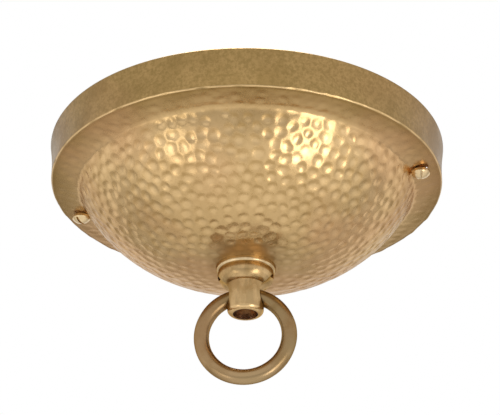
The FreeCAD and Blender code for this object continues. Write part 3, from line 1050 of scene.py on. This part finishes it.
class CANOPY_OT_band(bpy.types.Operator):
    """Build the upright band, its rolled corner and the inside of the shell"""

    bl_idname = "canopy.band"
    bl_label = "Band and Inside"

    def execute(self, context):
        cad_node("canopy")
        settings = context.scene.canopy_shell
        mesh = Mesh()
        inner = (RIM_INSIDE, 0.0)
        rim = [inner, *rounded((RIM, 0.0), inner, CORNER, RIM_ROUND, 5)]
        edge = corner_edge()

        # The upright band, with a slight waist, faint painted shade on its marks and a painted highlight
        # on one side
        band, along = even([rim[-1], edge[0]], 0.7)
        marks, _, wall = hammer_marks(
            band,
            along,
            MEDIUM,
            BAND_MARK_PITCH,
            BAND_MARK_RADIUS,
            settings.band_mark_depth / MM,
            settings.seed + 2,
        )
        waist = WAIST * np.clip(np.sin(math.pi * along / along[-1]), 0.0, 1.0)[:, None]
        band_sheen = 0.35 * bell(turns(MEDIUM), *BAND_SHEEN)
        mesh.turned(
            band,
            MEDIUM,
            marks + waist,
            shine=np.broadcast_to(band_sheen, marks.shape),
            wall=wall * 0.1,
        )
        mesh.turned(rim, MEDIUM)

        # The corner, which waves up and down, with a painted highlight along it that is brightest where
        # it is low
        turn = turns(FINE)
        wave = 0.13 * np.sin(29 * turn + 1.0) + 0.11 * np.sin(41 * turn) + 0.06 * np.sin(71 * turn + 2.0)
        share = np.sin(np.linspace(0.0, math.pi, len(edge)))[:, None]
        gleam = share * np.clip(1.0 - 2.0 * wave, 0.4, 1.0)[None, :]
        mesh.turned(edge, FINE, share * 0.06, lift=share * wave[None, :], shine=gleam, zone=gleam)

        # The inside, from the stem's hole to the rim
        hole = [(STEM_HOLE, SEAT_INSIDE), (9.0, SEAT_INSIDE), (SEAT_START, SEAT_INSIDE)]
        mesh.turned(hole, HOLE_POINTS)
        mesh.turned(even(bezier(DOME_INSIDE, 200)[::-1], 2.2)[0], COARSE)
        mesh.turned(even([FOOT_INSIDE, CORNER_INSIDE], 0.62)[0], FINE, keep=open_slots)
        mesh.turned(even([CORNER_INSIDE, inner], 2.2)[0], COARSE)
        slot_walls(mesh)
        add_shell(mesh, "band_and_inside", finish("band_brass_finish", band_brass))
        return {"FINISHED"}


class CANOPY_OT_ring(bpy.types.Operator):
    """Build the ring of round brass wire"""

    bl_idname = "canopy.ring"
    bl_label = "Ring"

    def execute(self, context):
        cad_node("ring")
        low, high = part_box("ring")
        deep = (high.y - low.y) / 2 / MM
        tall = (high.z - low.z) / 2 / MM
        mean = (tall - deep) / (1.0 - math.sin(LOOP_TURN))
        wire = tall - mean
        centre = (high.z + low.z) / 2 / MM
        around, across = 256, 40
        u = turns(around)[:, None]
        v = turns(across)[None, :]

        # The wire is a little uneven, except at the bottom, where the CAD's box ends
        dent = 0.02 * np.sin(5 * u + 2 * v) + 0.015 * np.sin(9 * u - 3 * v + 1.0)
        thick = wire - 0.03 + dent * np.clip(np.abs(np.cos(u / 2)) * 2, 0.0, 1.0)
        radius = mean + thick * np.cos(v)
        along = radius * np.sin(u)
        out = thick * np.sin(v)
        x = along * math.cos(LOOP_TURN) - out * math.sin(LOOP_TURN)
        y = along * math.sin(LOOP_TURN) + out * math.cos(LOOP_TURN)
        points = np.stack([x, y, centre + radius * np.cos(u)], axis=2)
        index = np.arange(around * across).reshape(around, across)
        after = np.roll(index, -1, 0)
        quads = np.stack([index, np.roll(index, -1, 1), np.roll(after, -1, 1), after], axis=2)
        quads = quads.reshape(-1, 4)
        # The lower half is lighter: partly wear where the chain hangs, partly painted sheen
        polish_and_sheen = 0.45 * np.clip(-np.cos(u), 0.0, 1.0) ** 2 + 0 * v
        mesh = Mesh()
        mesh.add(points, quads, shine=polish_and_sheen)
        item = mesh.build("brass_ring", finish("ring_brass_finish", ring_brass), 60.0)
        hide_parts("ring")
        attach(item, RING_BODY)
        return {"FINISHED"}


class CANOPY_OT_turned_parts(bpy.types.Operator):
    """Finish the seat washer and the loop body in turned brass"""

    bl_idname = "canopy.turned_parts"
    bl_label = "Washer and Loop Body"

    def execute(self, context):
        brass = finish("turned_brass_finish", turned_brass)
        for name in ("seat_washer", "loop_body"):
            dress(cad_node(name), brass)
        return {"FINISHED"}


class CANOPY_OT_screws(bpy.types.Operator):
    """Finish the two canopy screws"""

    bl_idname = "canopy.screws"
    bl_label = "Canopy Screws"

    def execute(self, context):
        dress(cad_node("canopy_screws"), finish("screw_brass_finish", screw_brass))
        return {"FINISHED"}


class CANOPY_OT_fittings(bpy.types.Operator):
    """Finish the crossbar, stem, washers, nut and ground screw inside the canopy"""

    bl_idname = "canopy.fittings"
    bl_label = "Inner Fittings"

    def execute(self, context):
        zinc = finish("zinc_steel_finish", zinc_steel)
        for name in ("crossbar", "stem", "flat_washer", "lock_washer", "locknut"):
            dress(cad_node(name), zinc)
        dress(cad_node("ground_screw"), finish("green_screw_finish", green_paint))
        return {"FINISHED"}


# Studio


# The camera's place, the point it looks at and its turn to the side
EYE = (0.14625, -0.49564, -0.3013)
AIM = (0.0012, 0.00035, -0.02054)
ROLL = math.radians(0.4655)

# The point that the lamps face, and half the width of the floor
LAMP_AIM = (0.0, 0.0, -0.035)
FLOOR_HALF = 4.0


def background(tree, strength):
    """A plain white background of this strength."""
    node = tree.nodes.new("ShaderNodeBackground")
    node.inputs["Color"].default_value = WHITE
    node.inputs["Strength"].default_value = strength
    return node.outputs[0]


def studio_world(scene):
    """White to the camera and in reflections, and a plain fill light."""
    world = bpy.data.worlds.new("studio_world")
    scene.world = world
    world.use_nodes = True
    tree = world.node_tree
    tree.nodes.clear()
    out = tree.nodes.new("ShaderNodeOutputWorld")
    path = tree.nodes.new("ShaderNodeLightPath")
    shown = math_node(tree, "MAXIMUM", path.outputs["Is Camera Ray"], path.outputs["Is Glossy Ray"])
    shown = math_node(tree, "MAXIMUM", shown, path.outputs["Is Transmission Ray"])
    mix = tree.nodes.new("ShaderNodeMixShader")
    link(tree, shown, mix.inputs[0])
    link(tree, background(tree, 0.55), mix.inputs[1])
    link(tree, background(tree, 1.0), mix.inputs[2])
    link(tree, mix.outputs[0], out.inputs["Surface"])


def floor_material():
    material, tree, shader, place = plain_material("studio_floor")
    cloud = noise(tree, place, 3.0, 2.0)
    colour = blend_colours(tree, cloud, (0.80, 0.80, 0.79, 1.0), (0.83, 0.83, 0.82, 1.0))
    link(tree, colour, shader.inputs["Base Color"])
    shader.inputs["Roughness"].default_value = 0.9
    return material


def soft_lamp(name, turn, rise, far, width, height, power):
    """An oval lamp that faces the dome from this compass turn and rise, in degrees."""
    data = bpy.data.lights.new(name, "AREA")
    data.shape = "ELLIPSE"
    data.size = width
    data.size_y = height
    data.energy = power
    lamp = bpy.data.objects.new(name, data)
    bpy.context.scene.collection.objects.link(lamp)
    turn = math.radians(turn)
    rise = math.radians(rise)
    level = math.cos(rise)
    way = Vector((level * math.cos(turn), level * math.sin(turn), math.sin(rise)))
    lamp.location = Vector(LAMP_AIM) + way * far
    lamp.rotation_euler = (-way).to_track_quat("-Z", "Y").to_euler()


def aimed_camera(scene, lens):
    """The camera, with its slight turn to the side."""
    data = bpy.data.cameras.new("camera")
    data.lens = lens
    data.sensor_width = 36.0
    data.clip_start = 0.01
    camera = bpy.data.objects.new("camera", data)
    scene.collection.objects.link(camera)
    look = (Vector(AIM) - Vector(EYE)).normalized()
    right = look.cross(Vector((0.0, 0.0, 1.0))).normalized()
    up = right.cross(look)
    rolled_right = right * math.cos(ROLL) + up * math.sin(ROLL)
    rolled_up = up * math.cos(ROLL) - right * math.sin(ROLL)
    turn = Matrix((rolled_right, rolled_up, -look)).transposed().to_4x4()
    camera.matrix_world = Matrix.Translation(EYE) @ turn
    scene.camera = camera


def floor_plane(scene, height):
    """A wide level floor at this height."""
    half = FLOOR_HALF
    corners = [(-half, -half), (half, -half), (half, half), (-half, half)]
    mesh = bpy.data.meshes.new("floor")
    mesh.from_pydata([(x, y, height) for x, y in corners], [], [(0, 1, 2, 3)])
    mesh.materials.append(floor_material())
    floor = bpy.data.objects.new("floor", mesh)
    scene.collection.objects.link(floor)


class CANOPY_OT_stage(bpy.types.Operator):
    """Set up the floor, the white surround, the soft lamps and the camera"""

    bl_idname = "canopy.stage"
    bl_label = "Studio"

    def execute(self, context):
        scene = context.scene
        settings = scene.canopy_stage
        scene.view_settings.view_transform = "Standard"
        studio_world(scene)
        floor_plane(scene, -settings.floor_drop)
        wide, tall = settings.lamp_width, settings.lamp_height
        # Compass turn and rise in degrees, distance, width, height and power
        soft_lamp("lamp_left", -125.0, -37.0, 0.9, 0.7 * wide, 0.7 * tall, settings.left_power)
        soft_lamp("lamp_right", -28.0, -34.0, 0.9, wide, tall, settings.right_power)
        soft_lamp("lamp_left_wide", -150.0, -30.0, 1.0, 0.8, 0.8, settings.side_power)
        soft_lamp("lamp_right_wide", 4.0, -28.0, 1.0, 0.8, 0.8, settings.side_power)
        soft_lamp("lamp_top", -90.0, 84.0, 1.6, 1.2, 1.2, settings.top_power)
        aimed_camera(scene, settings.lens)
        return {"FINISHED"}


# Panel


class CANOPY_PT_panel(bpy.types.Panel):
    """Sizes, finishes and pieces of the canopy"""

    bl_label = "Ceiling Canopy"
    bl_idname = "CANOPY_PT_panel"
    bl_space_type = "VIEW_3D"
    bl_region_type = "UI"
    bl_category = "Canopy"

    def draw(self, context):
        scene = context.scene
        for title, settings in (
            ("Shell", scene.canopy_shell),
            ("Finish", scene.canopy_finish),
            ("Studio", scene.canopy_stage),
        ):
            box = self.layout.box()
            box.label(text=title)
            for name in settings.__annotations__:
                box.prop(settings, name)
        column = self.layout.column(align=True)
        for operator in OPERATORS:
            column.operator(operator.bl_idname)


GROUPS = (
    ("canopy_shell", CanopyShellSettings),
    ("canopy_finish", CanopyFinishSettings),
    ("canopy_stage", CanopyStageSettings),
)
OPERATORS = (
    CANOPY_OT_stage,
    CANOPY_OT_shell,
    CANOPY_OT_band,
    CANOPY_OT_turned_parts,
    CANOPY_OT_ring,
    CANOPY_OT_screws,
    CANOPY_OT_fittings,
)


def register():
    for name, group in GROUPS:
        bpy.utils.register_class(group)
        setattr(bpy.types.Scene, name, bpy.props.PointerProperty(type=group))
    for operator in OPERATORS:
        bpy.utils.register_class(operator)
    bpy.utils.register_class(CANOPY_PT_panel)


def unregister():
    bpy.utils.unregister_class(CANOPY_PT_panel)
    for operator in reversed(OPERATORS):
        bpy.utils.unregister_class(operator)
    for name, group in reversed(GROUPS):
        delattr(bpy.types.Scene, name)
        bpy.utils.unregister_class(group)


def main():
    """Builds everything in order."""
    register()
    bpy.ops.canopy.stage()
    bpy.ops.canopy.shell()
    bpy.ops.canopy.band()
    bpy.ops.canopy.turned_parts()
    bpy.ops.canopy.ring()
    bpy.ops.canopy.screws()
    bpy.ops.canopy.fittings()
    bpy.context.view_layer.update()


if __name__ == "__main__":
    main()
